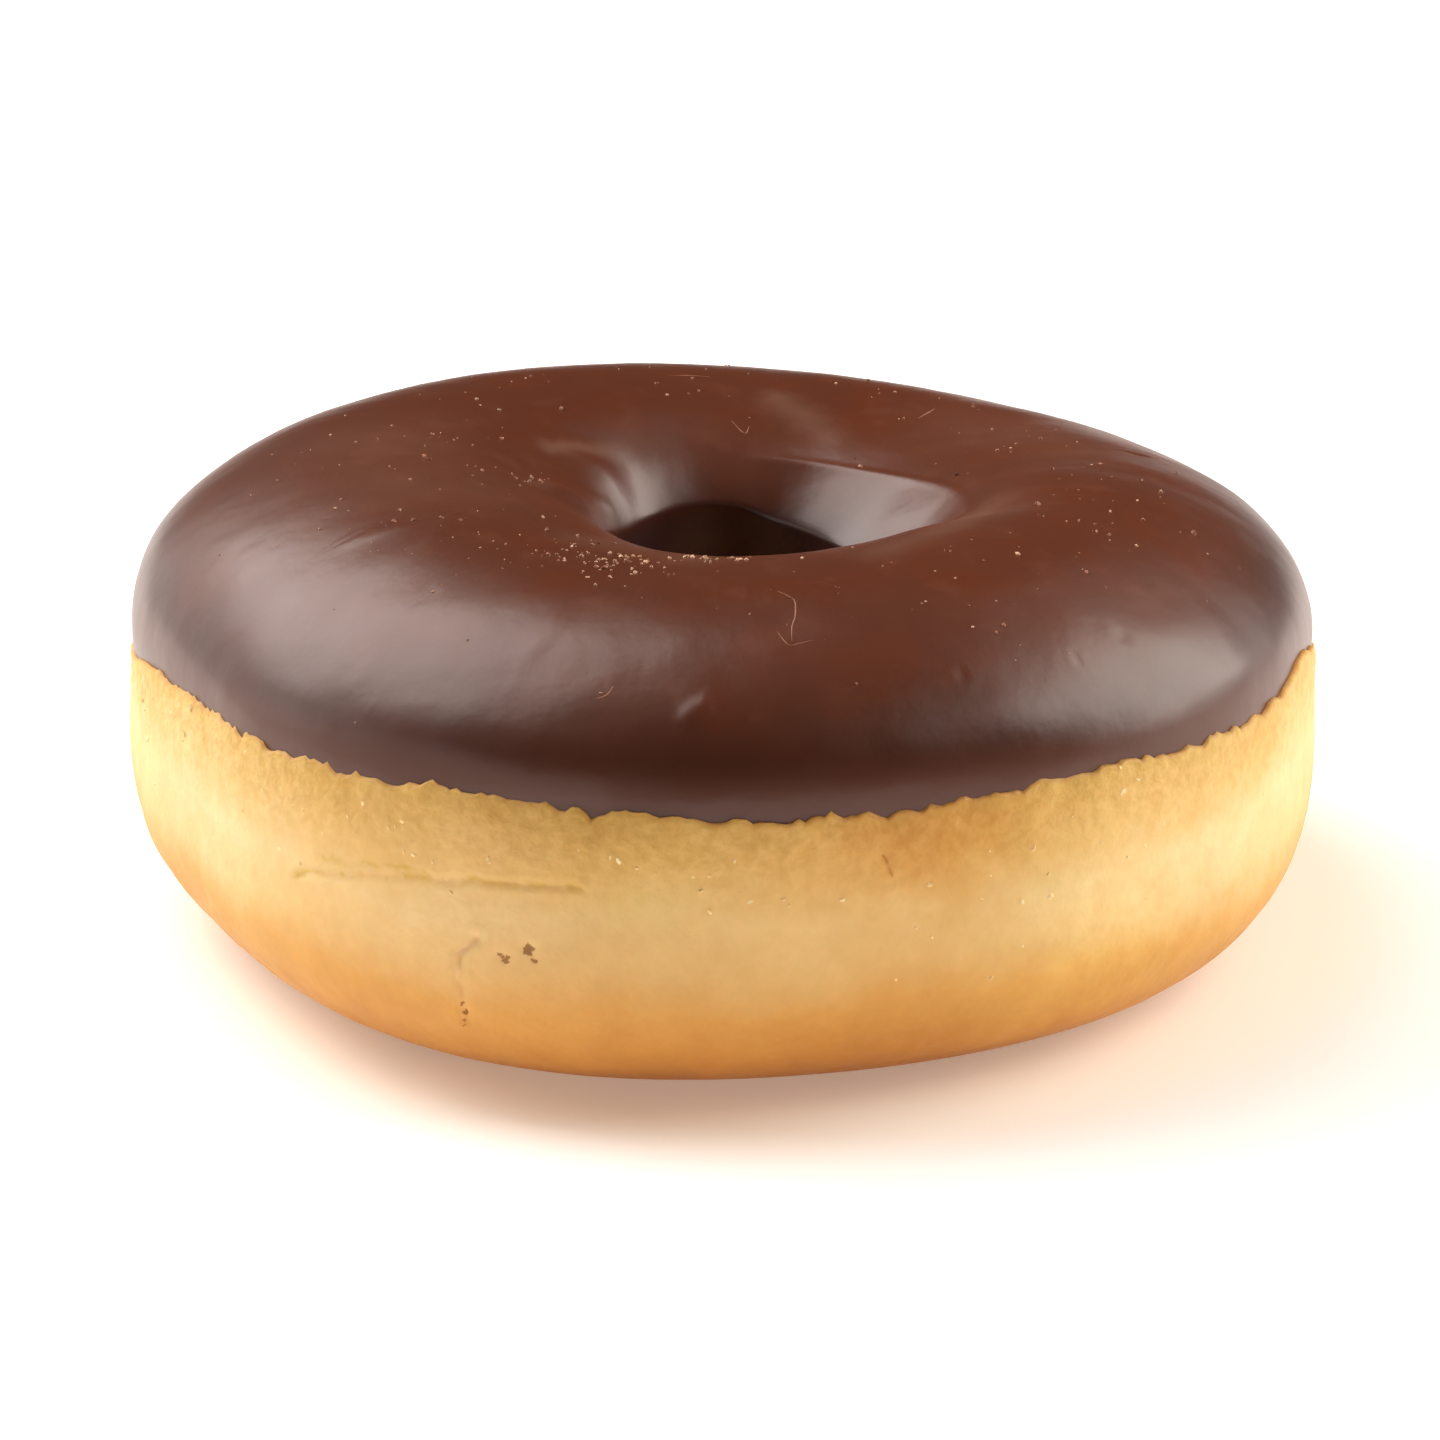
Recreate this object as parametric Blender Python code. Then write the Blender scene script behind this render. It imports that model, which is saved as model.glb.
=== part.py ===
"""Iced ring doughnut: a raised dough ring and the chocolate icing that caps it.

Sizes are in millimetres and become metres when the meshes are made. The ring lies flat on
z = 0 with its hole along +Z and the middle of its box above the origin. Bearings run
anticlockwise from +X, seen from above.

Both pieces come from one form. A closed curve is the ring's cross section, waves round the
ring make its height, its outer side and its hole as uneven as hand-cut dough, and a straight
bore runs below the funnel of its mouth. A pressed fold and a thumb's hollow open the mouth on
one side. Above the icing line the dough sinks below the form, and the icing fills the space up
to it.
"""

import math

import bmesh
import bpy
import numpy as np

MM = 0.001

# The ring
OUTER_RADIUS = 46.5
HOLE_RADIUS = 7.0
SECTION_HEIGHT = 33.8
CENTRE = (0.76, 0.35)

# Cross section: corners of a closed B-spline, measured across from the hole (0) to the outer
# side (1) and up from the floor (0), in units of SECTION_HEIGHT. The first three corners and
# the last lie on the floor, so the ring has a flat foot.
SECTION_CORNERS = (
    (0.40, 0.00), (0.61, 0.00), (0.83, 0.00), (1.03, 0.21), (1.00, 0.52), (1.02, 0.81),
    (0.75, 1.02), (0.50, 1.08), (0.20, 1.01), (0.02, 0.80), (-0.02, 0.45), (0.03, 0.14),
    (0.18, 0.00),
)
SECTION_STEPS = 780

# Waves round the ring: how many there are, how high they stand and the bearing of a crest
HEIGHT_WAVES = ((1, 1.2, -150), (2, 0.8, -32), (3, 0.3, -20))
OUTER_WAVES = ((2, 1.2, 53), (3, 0.9, 42), (4, 0.8, -27), (5, 0.4, 25))
HOLE_WAVES = ((1, 0.4, 13), (2, 1.2, -45))

# Straight bore below the funnel of the mouth
BORE_RADIUS = 10.6
BORE_WAVES = ((2, 0.5, 88),)

# Pressed fold that opens the mouth of the hole towards the right
FOLD_BEARING = 28
FOLD_HALF_ANGLE = 62
FOLD_RADIUS = 16.7
FOLD_DRIFT = -0.038        # change of the fold's radius for each degree
FOLD_ENDING = 3.2          # how abruptly the fold ends, 1 being the softest
FOLD_DEPTH = 0.95
FOLD_SHOULDER = 2.2        # width over which the fold drops

# Hollow that a thumb left in front of the fold's tip
THUMB_BEARING = 352
THUMB_RADIUS = 14.6
THUMB_DEPTH = 1.35
THUMB_WIDTH = 4.4

# Icing
ICING_THICKNESS = 1.2
GAP = 0.3                  # clearance between dough and icing
RIM_ROUNDING = 0.45
HOLE_LINE = 20.0           # height where the icing ends inside the hole
ICING_LINE = 22.7          # mean height where it ends on the outer side
ICING_LINE_WAVES = (
    (1, 1.87, -91), (2, 0.43, 79), (3, 0.77, -22), (7, 0.3, -8),
    (11, 0.2, 9), (19, 0.2, 3), (29, 0.2, 1),
)

# Places where the icing ends lower: bearing, drop and half width in degrees
ICING_DIPS = ((6, 2.2, 12), (347, -0.6, 6), (180, 0.9, 10))

# Mesh divisions
ROUND_STEPS = 96
BARE_ROWS = 17
ICED_ROWS = 13
TURN_LENGTH = 7.0          # a turn of one radian draws as many rows as this length

DOUGH_COLOUR = (0.76, 0.41, 0.12, 1.0)
ICING_COLOUR = (0.12, 0.034, 0.018, 1.0)


def clear_scene():
    """Start from an empty scene."""
    for item in list(bpy.data.objects):
        bpy.data.objects.remove(item, do_unlink=True)


def waves(theta, terms):
    """Height of all the waves at one bearing, in radians."""
    return sum(size * math.cos(count * (theta - math.radians(crest))) for count, size, crest in terms)


def smooth_step(value):
    """Ease from 0 to 1 as the value goes from 0 to 1."""
    value = np.clip(value, 0.0, 1.0)
    return value * value * (3.0 - 2.0 * value)


def section_curve():
    """Points (across, up) of the cross section, from the foot outwards and over the crown."""
    corners = np.array(SECTION_CORNERS)
    count = len(corners)
    place = np.arange(SECTION_STEPS) * count / SECTION_STEPS - 0.5
    first = np.floor(place).astype(int)
    part = place - first
    weights = (
        (1 - part) ** 3 / 6,
        (3 * part ** 3 - 6 * part ** 2 + 4) / 6,
        (-3 * part ** 3 + 3 * part ** 2 + 3 * part + 1) / 6,
        part ** 3 / 6,
    )
    return sum(weight[:, None] * corners[(first + k) % count] for k, weight in enumerate(weights))


def turn_from(theta, bearing):
    """Degrees from a bearing to the angle theta, from -180 to 180."""
    return (math.degrees(theta) - bearing + 180) % 360 - 180


def icing_line(theta):
    """Height of the icing's outer edge."""
    line = ICING_LINE + waves(theta, ICING_LINE_WAVES)
    for bearing, drop, half_width in ICING_DIPS:
        line -= drop * math.exp(-(turn_from(theta, bearing) / half_width) ** 2)
    return line


def fold_drop(theta, radius, height):
    """How far the fold and the thumb lower the form at these radii of one bearing."""
    bearing = turn_from(theta, FOLD_BEARING)
    reach = float(smooth_step(FOLD_ENDING * (1 - abs(bearing) / FOLD_HALF_ANGLE)))
    inside = np.maximum(FOLD_RADIUS + FOLD_DRIFT * bearing - radius, 0.0)
    upper = smooth_step(2.0 * height / SECTION_HEIGHT - 0.6)
    angle = theta - math.radians(THUMB_BEARING)
    across = radius * math.cos(angle) - THUMB_RADIUS
    thumb = np.exp(-(across ** 2 + (radius * math.sin(angle)) ** 2) / THUMB_WIDTH ** 2)
    return upper * (FOLD_DEPTH * reach * (1 - np.exp(-inside / FOLD_SHOULDER)) + THUMB_DEPTH * thumb)


class Slice:
    """The form's cross section at one bearing, read by the length along it."""

    def __init__(self, theta, curve):
        hole = HOLE_RADIUS + waves(theta, HOLE_WAVES)
        outer = OUTER_RADIUS + waves(theta, OUTER_WAVES)
        height = SECTION_HEIGHT + waves(theta, HEIGHT_WAVES)
        radius = hole + curve[:, 0] * (outer - hole)
        level = curve[:, 1] * height
        level = level - fold_drop(theta, radius, level)
        path = np.tile(np.stack((radius, level), axis=1), (2, 1))
        steps = np.diff(path, axis=0)
        lengths = np.hypot(steps[:, 0], steps[:, 1])
        headings = np.unwrap(np.arctan2(steps[:, 1], steps[:, 0]))
        turns = np.append(0.0, np.abs(np.diff(headings)))
        self.theta = theta
        self.bore = BORE_RADIUS + waves(theta, BORE_WAVES)
        self.path = path
        self.run = np.append(0.0, np.cumsum(lengths))
        self.weight = np.append(0.0, np.cumsum(lengths + TURN_LENGTH * turns))
        self.lap = self.run[SECTION_STEPS]
        crown = int(np.argmax(level))
        self.outer_line = float(np.interp(icing_line(theta), level[:crown], self.run[:crown]))
        down = slice(crown, SECTION_STEPS)
        self.hole_line = float(np.interp(HOLE_LINE, level[down][::-1], self.run[down][::-1]))

    def spread(self, start, end, count):
        """Lengths from start to end, closer together where the section turns."""
        limits = np.interp((start, end), self.run, self.weight)
        return np.interp(np.linspace(*limits, count), self.weight, self.run)

    def read(self, along):
        """Radius and height of the form at one length along the section."""
        return np.array([np.interp(along, self.run, self.path[:, axis]) for axis in (0, 1)])

    def point(self, along, depth):
        """A point of the ring: along the section, sunk square to it by a depth, clear of the bore."""
        ahead, behind = self.read(along + 0.5), self.read(along - 0.5)
        tangent = (ahead - behind) / np.linalg.norm(ahead - behind)
        inward = np.array((-tangent[1], tangent[0]))
        radius, level = self.read(along) + depth * inward
        radius = max(radius, self.bore + depth)
        return (
            (radius * math.cos(self.theta) + CENTRE[0]) * MM,
            (radius * math.sin(self.theta) + CENTRE[1]) * MM,
            level * MM,
        )

    def dough_loop(self):
        """The dough: bare from the hole under the foot to the icing line, then sunk."""
        bare = self.spread(self.hole_line, self.lap + self.outer_line, BARE_ROWS)
        iced = self.spread(self.outer_line, self.hole_line, ICED_ROWS)
        loop = [self.point(along, 0.0) for along in bare]
        loop += [self.point(along, ICING_THICKNESS + GAP) for along in iced]
        return loop

    def icing_loop(self):
        """The icing: rounded rims, its face on the form and its back above the dough."""
        start, end = self.outer_line + GAP, self.hole_line - GAP
        face = self.spread(start + RIM_ROUNDING, end - RIM_ROUNDING, ICED_ROWS)
        back = self.spread(end, start, ICED_ROWS)
        loop = [self.point(start, RIM_ROUNDING)]
        loop += [self.point(along, 0.0) for along in face]
        loop += [self.point(end, RIM_ROUNDING)]
        loop += [self.point(along, ICING_THICKNESS) for along in back]
        return loop


def closed_ring(name, loops, colour, roughness):
    """Join closed loops of points round the ring into one closed solid."""
    mesh = bpy.data.meshes.new(name)
    work = bmesh.new()
    rings = [[work.verts.new(point) for point in loop] for loop in loops]
    for ring, following in zip(rings, rings[1:] + rings[:1]):
        for i, vert in enumerate(ring):
            ahead = (i + 1) % len(ring)
            work.faces.new((vert, following[i], following[ahead], ring[ahead]))
    bmesh.ops.triangulate(work, faces=work.faces, quad_method="FIXED")
    bmesh.ops.recalc_face_normals(work, faces=work.faces)
    work.to_mesh(mesh)
    work.free()
    mesh.shade_smooth()
    mesh.set_sharp_from_angle(angle=math.radians(50))
    mesh.materials.append(plain_material(name, colour, roughness))
    ring_object = bpy.data.objects.new(name, mesh)
    bpy.context.scene.collection.objects.link(ring_object)
    return ring_object


def plain_material(name, colour, roughness):
    """A Principled material in the piece's own colour."""
    material = bpy.data.materials.new(name)
    material.use_nodes = True
    shader = material.node_tree.nodes["Principled BSDF"]
    shader.inputs["Base Color"].default_value = colour
    shader.inputs["Roughness"].default_value = roughness
    shader.inputs["Metallic"].default_value = 0.0
    return material


def main():
    clear_scene()
    curve = section_curve()
    slices = [Slice(2 * math.pi * k / ROUND_STEPS, curve) for k in range(ROUND_STEPS)]
    closed_ring("dough_ring", [one.dough_loop() for one in slices], DOUGH_COLOUR, 0.75)
    closed_ring("chocolate_icing", [one.icing_loop() for one in slices], ICING_COLOUR, 0.3)


main()
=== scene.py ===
"""Iced ring doughnut on a pale table: fried dough, set chocolate icing, crumbs and sugar.

Sizes are in millimetres and bearings in degrees anticlockwise from +X, seen from above, unless
a comment says otherwise. Colours are linear.
"""
import functools
import math

import bpy
import numpy as np
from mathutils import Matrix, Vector


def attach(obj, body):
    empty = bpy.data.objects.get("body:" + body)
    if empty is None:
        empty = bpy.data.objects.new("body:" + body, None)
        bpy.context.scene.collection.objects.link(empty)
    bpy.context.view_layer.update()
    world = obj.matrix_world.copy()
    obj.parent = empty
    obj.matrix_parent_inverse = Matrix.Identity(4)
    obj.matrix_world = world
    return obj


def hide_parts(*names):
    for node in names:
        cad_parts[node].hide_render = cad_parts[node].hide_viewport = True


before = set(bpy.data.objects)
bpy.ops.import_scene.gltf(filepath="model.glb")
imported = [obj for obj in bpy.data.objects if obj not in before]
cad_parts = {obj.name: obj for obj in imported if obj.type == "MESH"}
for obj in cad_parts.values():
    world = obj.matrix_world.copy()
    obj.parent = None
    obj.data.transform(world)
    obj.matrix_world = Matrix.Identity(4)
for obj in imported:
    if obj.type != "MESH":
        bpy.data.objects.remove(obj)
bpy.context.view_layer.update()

MM = 0.001

# -------- sizes, in millimetres

OUTER_RADIUS = 46.5
HOLE_RADIUS = 7.0
SECTION_HEIGHT = 33.8
CENTRE = (0.76, 0.35)

# Cross section: corners of a closed B-spline, across from the hole (0) to the outer side (1)
# and up from the floor (0), in units of SECTION_HEIGHT
SECTION_CORNERS = (
    (0.4, 0), (0.61, 0), (0.83, 0), (1.03, 0.21), (1, 0.52), (1.02, 0.81), (0.75, 1.02),
    (0.5, 1.08), (0.2, 1.01), (0.02, 0.8), (-0.02, 0.45), (0.03, 0.14), (0.18, 0),
)
SECTION_STEPS = 780

# Waves round the ring: how many there are, how high they stand and the bearing of a crest
HEIGHT_WAVES = ((1, 1.2, -150), (2, 0.8, -32), (3, 0.3, -20))
OUTER_WAVES = ((2, 1.2, 53), (3, 0.9, 42), (4, 0.8, -27), (5, 0.4, 25))
HOLE_WAVES = ((1, 0.4, 13), (2, 1.2, -45))

# Straight bore below the funnel of the mouth
BORE_RADIUS = 10.6
BORE_WAVES = ((2, 0.5, 88),)

# Pressed fold that opens the mouth of the hole towards the right
FOLD_BEARING = 28
FOLD_HALF_ANGLE = 62
FOLD_RADIUS = 16.7
FOLD_DRIFT = -0.038        # change of the fold's radius for each degree
FOLD_ENDING = 3.2          # how abruptly the fold ends, 1 being the softest
FOLD_DEPTH = (0.85, 1.1)   # along the fold and at its tip on the right
FOLD_SHOULDER = (3.0, 1.8)     # width over which the fold drops, along it and at the tip
FOLD_CLOSING = 4.0         # how far the fold turns in at the tip
FOLD_RIDGE = (0.1, 0.35)  # height and half width of the bead along the fold
# Hollows that a thumb left in front of the fold's tip: bearing, radius, depth, half width
THUMBS = ((355.0, 14.4, 1.55, 4.8), (338.5, 20.3, 0.95, 4.6))

# Icing
ICING_THICKNESS = 1.2
ICING_OVERLAP = 0.35       # how far the dough reaches into the back of the icing
RIM_ROUNDING = 0.5
RIM_TUCK = 0.95            # how far the rim reaches down behind the dough's lip
EDGE_ROLL = 0.26           # how far the face falls back at its outer edge
HOLE_LINE = 20.0           # height where the icing ends inside the hole
ICING_LINE = 22.7          # mean height where it ends on the outer side
ICING_LINE_WAVES = ((1, 1.87, -91), (2, 0.43, 79), (3, 0.77, -22), (7, 0.3, -8))
# Places where the icing ends lower: bearing, drop and half width in degrees
ICING_DIPS = ((6, 2.2, 12), (347, -0.6, 6), (180, 0.9, 10))
# Cusps of the ragged edge: size, height and where their noise is read
EDGE_CUSPS = ((4.6, 0.55, 3.0), (1.9, 0.7, 11.0), (0.8, 0.8, 23.0))
NICK_SHARE = 0.85          # share of its listed depth that a nick gets
# Nicks in the icing's edge: bearing, depth below the line and half width in degrees
ICING_NICKS = (
    (200, 0.3, 2), (211.5, 0.35, 1.2), (218.4, 0.75, 1.3), (223.5, 0.6, 2.4), (227, 0.5, 1.2),
    (233, 0.7, 2.2), (239, 0.8, 2), (255.2, 0.6, 1.2), (258, 0.95, 1.5), (263.5, 0.3, 1),
    (268, 0.3, 3), (275, 0.35, 3.5), (280, 0.35, 1.2), (283.8, 0.6, 0.9), (287, 0.5, 0.8),
    (292, 0.3, 2), (305, 0.25, 1), (315.5, 0.3, 1.5), (319, 0.6, 1.2), (326, 0.5, 2.5),
    (331, 0.5, 2), (336, 0.5, 1.5),
)

# -------- camera and light

CAMERA_LIFT = 19.36        # degrees above the level
CAMERA_DISTANCE = 510.0
CAMERA_TARGET = (-0.17, 0.35, 14.98)
CAMERA_LENS = 162.8
SENSOR_WIDTH = 36.0
LIGHT_COLOUR = (1.0, 0.91, 0.86)
WARM_COLOUR = (1.0, 0.9, 0.8)
SOFT_COLOUR = (1.0, 0.97, 0.92)
PAINTED_TABLE_GLOW = ((1.0, 0.8, 0.63), (0.95, 0.86, 0.92))   # painted light: the table glows, warm near the ring and paler away, to lighten and warm the shadow round it
PAINTED_TABLE_GLOW_STRENGTH = 0.29
TABLE_DIMS = (335.0, 430.0)    # radii between which the far table grows dimmer
TABLE_HALF = 3.0           # metres
TABLE_DROP = 0.0001        # metres that the table lies below the foot
ROOM_STRENGTH = 0.05

# Divisions round the ring
DOUGH_COLUMNS = 620
ICING_COLUMNS = 800


# -------- node graphs as expressions

def is_vector(value):
    """True for a socket that carries a colour or a vector, and for three numbers."""
    if isinstance(value, Value):
        return value.socket.type in ("VECTOR", "RGBA")
    return isinstance(value, (tuple, list, Vector))


def both_ways(operation):
    """An operator of Value and its reflected form, for numbers on the left as in 1 - mask."""
    return (
        lambda self, other: self.math(operation, self, other),
        lambda self, other: self.math(operation, other, self),
    )


def alone(operation):
    """A function of one Value."""
    return lambda self: self.math(operation, self)


class Value:
    """A node's output socket that takes part in ordinary Python arithmetic."""

    def __init__(self, graph, socket):
        self.graph = graph
        self.socket = socket

    def math(self, operation, *terms, output=0):
        """A Math node, or a Vector Math node where a term is a colour or a vector."""
        if any(is_vector(term) for term in terms):
            terms = [(term,) * 3 if isinstance(term, (int, float)) else term for term in terms]
            kind = "ShaderNodeVectorMath"
        else:
            kind = "ShaderNodeMath"
        return self.graph.add(kind, {"operation": operation}, dict(enumerate(terms)), output)

    __add__, __radd__ = both_ways("ADD")
    __sub__, __rsub__ = both_ways("SUBTRACT")
    __mul__, __rmul__ = both_ways("MULTIPLY")
    __truediv__, __rtruediv__ = both_ways("DIVIDE")
    __pow__ = both_ways("POWER")[0]
    __abs__, exp = alone("ABSOLUTE"), alone("EXPONENT")
    sin, cos = alone("SINE"), alone("COSINE")
    fraction, unit = alone("FRACT"), alone("NORMALIZE")

    def __neg__(self):
        return self * -1

    def least(self, other):
        return self.math("MINIMUM", self, other)

    def most(self, other, rounding=0):
        """The larger of two values; a rounding above 0 eases the one into the other."""
        if rounding:
            return self.math("SMOOTH_MAX", self, other, rounding)
        return self.math("MAXIMUM", self, other)

    def length(self):
        """Length of a vector."""
        return self.math("LENGTH", self, output="Value")

    def dot(self, other):
        return self.math("DOT_PRODUCT", self, other, output="Value")

    def stroke(self, place_of, points):
        """Distance from this place to a line through the places of the points."""
        points = [place_of(*point) for point in points]
        gaps = []
        for start, end in zip(points, points[1:]):
            step = Vector(end) - Vector(start)
            away = self - start
            along = (away.dot(step) / step.length_squared).most(0).least(1)
            gaps.append((away - along * step).length())
        return functools.reduce(Value.least, gaps)

    def part(self, axis):
        """One of the X, Y and Z parts of a vector."""
        return self.graph.add("ShaderNodeSeparateXYZ", {}, {0: self}, axis)

    def ease(self, low, high):
        """0 at low and 1 at high, with a smooth step between them; high may be below low."""
        if low > high:
            return 1 - self.ease(high, low)
        settings = {"interpolation_type": "SMOOTHSTEP"}
        return self.graph.add("ShaderNodeMapRange", settings, {0: self, 1: low, 2: high})


class Graph:
    """A node tree written with Values."""

    def __init__(self, tree):
        self.tree = tree

    def add(self, kind, settings=None, inputs=None, output=0):
        """A node: its type, its settings, then its sockets' values or links; gives one output."""
        node = self.tree.nodes.new(kind)
        for key, setting in (settings or {}).items():
            if key == "stops":
                self.set_stops(node.color_ramp, setting)
            else:
                setattr(node, key, setting)
        self.plug(node, inputs or {})
        return Value(self, self.find(node.outputs, output))

    def plug(self, node, inputs):
        """Links a node's sockets to Values, or sets them."""
        for key, value in inputs.items():
            socket = self.find(node.inputs, key)
            if isinstance(value, Value):
                self.tree.links.new(value.socket, socket)
            else:
                socket.default_value = value

    @staticmethod
    def find(sockets, key):
        """A socket by its number, its identifier or its name."""
        if isinstance(key, int):
            return sockets[key]
        same = [socket for socket in sockets if socket.identifier == key]
        return same[0] if same else sockets[key]

    @staticmethod
    def set_stops(ramp, stops):
        """Colour stops of a ramp: place and colour."""
        while len(ramp.elements) < len(stops):
            ramp.elements.new(1)
        for element, (place, colour) in zip(ramp.elements, stops):
            element.position = place
            element.color = (*colour, 1)

    def vector(self, x, y, z):
        return self.add("ShaderNodeCombineXYZ", {}, {0: x, 1: y, 2: z})

    def named(self, key, kind="FLOAT"):
        """A named attribute, in a geometry tree."""
        return self.add("GeometryNodeInputNamedAttribute", {"data_type": kind}, {"Name": key}, "Attribute")

    def store(self, geometry, key, value):
        """The geometry with a number kept at its points, in a geometry tree."""
        settings = {"data_type": "FLOAT", "domain": "POINT"}
        inputs = {"Geometry": geometry, "Name": key, "Value": value}
        return self.add("GeometryNodeStoreNamedAttribute", settings, inputs)

    def move(self, geometry, **where):
        """The geometry moved to a Position or by an Offset."""
        return self.add("GeometryNodeSetPosition", {}, {"Geometry": geometry} | where)

    def mix(self, factor, low, high):
        """Low where the factor is 0 and high where it is 1: numbers or colours."""
        if is_vector(low) or is_vector(high):
            low, high = ((*end, 1) if isinstance(end, tuple) else end for end in (low, high))
            names = ("A_Color", "B_Color", "Result_Color")
            settings = {"data_type": "RGBA"}
        else:
            names = ("A_Float", "B_Float", "Result_Float")
            settings = {"data_type": "FLOAT"}
        inputs = {"Factor_Float": factor, names[0]: low, names[1]: high}
        return self.add("ShaderNodeMix", settings, inputs, names[2])

    def noise(self, place, size, detail=2, roughness=0.5, shift=0):
        """Soft noise from 0 to 1, whose lumps are about this many millimetres across."""
        place = place + (shift, shift * 0.7, shift * 1.3) if shift else place
        inputs = {"Vector": place, "Scale": 1 / size, "Detail": detail, "Roughness": roughness}
        return self.add("ShaderNodeTexNoise", {}, inputs)

    def warp(self, place, size, amount):
        """The place moved about a little on the plane, which makes marks uneven."""
        moves = [(self.noise(place, size, 2, shift=shift) - 0.5) * amount for shift in (3, 8)]
        return place + self.vector(*moves, 0)


def bell(distance, half_width):
    """1 at the middle of a mark, falling off as a bell curve."""
    ratio = distance / half_width
    return (-(ratio * ratio)).exp()


def waves(bearing, terms):
    """Sum of the waves round the ring at a bearing in radians."""
    return sum(size * (count * (bearing - math.radians(crest))).cos() for count, size, crest in terms)


def turn_from(bearing, where):
    """Degrees from one bearing to another, from -180 to 180; the first is in radians."""
    return ((bearing * (180 / math.pi) - (where - 180)) / 360).fraction() * 360 - 180


# -------- the ring's form

def spot_at(bearing, radius):
    """A place on the plan: bearing in degrees and radius in millimetres from the ring's middle."""
    return (radius * math.cos(math.radians(bearing)), radius * math.sin(math.radians(bearing)), 0.0)


def section_points():
    """Points (across, up) of the cross section, from the foot outwards and over the crown."""
    corners = np.array(SECTION_CORNERS)
    count = len(corners)
    place = np.arange(SECTION_STEPS) * count / SECTION_STEPS - 0.5
    first = np.floor(place).astype(int)
    part = place - first
    weights = (
        (1 - part) ** 3 / 6,
        (3 * part ** 3 - 6 * part ** 2 + 4) / 6,
        (-3 * part ** 3 + 3 * part ** 2 + 3 * part + 1) / 6,
        part ** 3 / 6,
    )
    return sum(weight[:, None] * corners[(first + k) % count] for k, weight in enumerate(weights))


def section_place(points, up, inner):
    """How far round the section, from 0 to 1, a height is met on the outer or the hole side."""
    closed = np.vstack((points, points[:1]))
    run = np.append(0.0, np.cumsum(np.hypot(*np.diff(closed, axis=0).T)))
    crown = int(np.argmax(closed[:, 1]))
    side = slice(crown, None) if inner else slice(0, crown)
    order = -1 if inner else 1
    return float(np.interp(up, closed[side, 1][::order], run[side][::order])) / run[-1]


def placed(name, data):
    """A new object at the origin, in the scene."""
    thing = bpy.data.objects.new(name, data)
    bpy.context.scene.collection.objects.link(thing)
    return thing


def section_object(points):
    """The section as a closed curve, for the node graph to read."""
    curve = bpy.data.curves.new("section", "CURVE")
    curve.dimensions = "3D"
    spline = curve.splines.new("POLY")
    spline.points.add(len(points) - 1)
    for target, (across, up) in zip(spline.points, points):
        target.co = (across, up, 0.0, 1.0)
    spline.use_cyclic_u = True
    return placed("section", curve)


def ring_net(name, loop, columns):
    """A closed net of quads round the ring. Its points carry a bearing, a place round the
    section (0 at the outer icing line, 1 at the one in the hole, 2 back at the outer one by way
    of the foot) and a depth below the form."""
    rows = len(loop)
    mesh = bpy.data.meshes.new(name)
    index = np.arange(columns * rows).reshape(columns, rows)
    ahead = np.roll(index, -1, axis=0)
    quads = np.stack((index, ahead, np.roll(ahead, -1, axis=1), np.roll(index, -1, axis=1)), axis=-1)
    bearing = np.repeat(math.tau * np.arange(columns) / columns, rows)
    place, depth = (np.tile(values, columns) for values in zip(*loop))
    points = np.stack((np.cos(bearing), np.sin(bearing), place), axis=1)
    mesh.from_pydata(points, [], quads.reshape(-1, 4))
    for key, values in (("bearing", bearing), ("place", place), ("depth", depth)):
        mesh.attributes.new(key, "FLOAT", "POINT").data.foreach_set("value", values)
    return placed(name, mesh)


def spread(start, end, count, crowd_end=0.0):
    """Numbers from start to end without the end, closer together at a crowded end."""
    step = np.arange(count) / count
    eased = 1.0 - (1.0 - step) ** (1.0 + crowd_end)
    return [float(start + (end - start) * value) for value in eased]


DENSITY_STEPS = 2000


def spread_by(density, start, end, count):
    """Numbers from start to end without the end, as dense as a list of (place, density) says."""
    fine = np.linspace(start, end, DENSITY_STEPS)
    run = np.append(0.0, np.cumsum(np.interp(fine[1:], *zip(*density))))
    return [float(value) for value in np.interp(np.arange(count) / count * run[-1], run, fine)]


ICED_LENGTH = 58.0         # millimetres of icing from line to line
# Rows for each millimetre: close at the edge, along the bead of the fold and at the throat
ICING_DENSITY = (
    (0, 5), (0.04, 2.2), (0.2, 1.6), (0.25, 0.8), (0.57, 0.8), (0.6, 3.4), (0.69, 3.4),
    (0.72, 1.9), (0.78, 1.9), (0.8, 3.6), (0.85, 3.6), (0.88, 0.9), (1, 0.7),
)


def icing_loop():
    """Rows round the icing: outer rim, face, rim in the hole, back."""
    rim_rows, face_rows, back_rows = 6, 104, 7
    rounding = RIM_ROUNDING / ICED_LENGTH
    tuck = RIM_TUCK / ICED_LENGTH
    half = ICING_THICKNESS / 2
    angles = [math.pi * (k / rim_rows - 0.5) for k in range(rim_rows)]
    face = spread_by(ICING_DENSITY, rounding - tuck, 1 - rounding, face_rows)
    loop = [(rounding * (1 - math.cos(a)) - tuck, half * (1 - math.sin(a))) for a in angles]
    loop += [(place, 0.0) for place in face]
    loop += [(1 - rounding * (1 - math.cos(a)), half * (1 + math.sin(a))) for a in angles]
    loop += [(place, ICING_THICKNESS) for place in spread(1 - rounding, rounding - tuck, back_rows)]
    return loop


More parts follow.
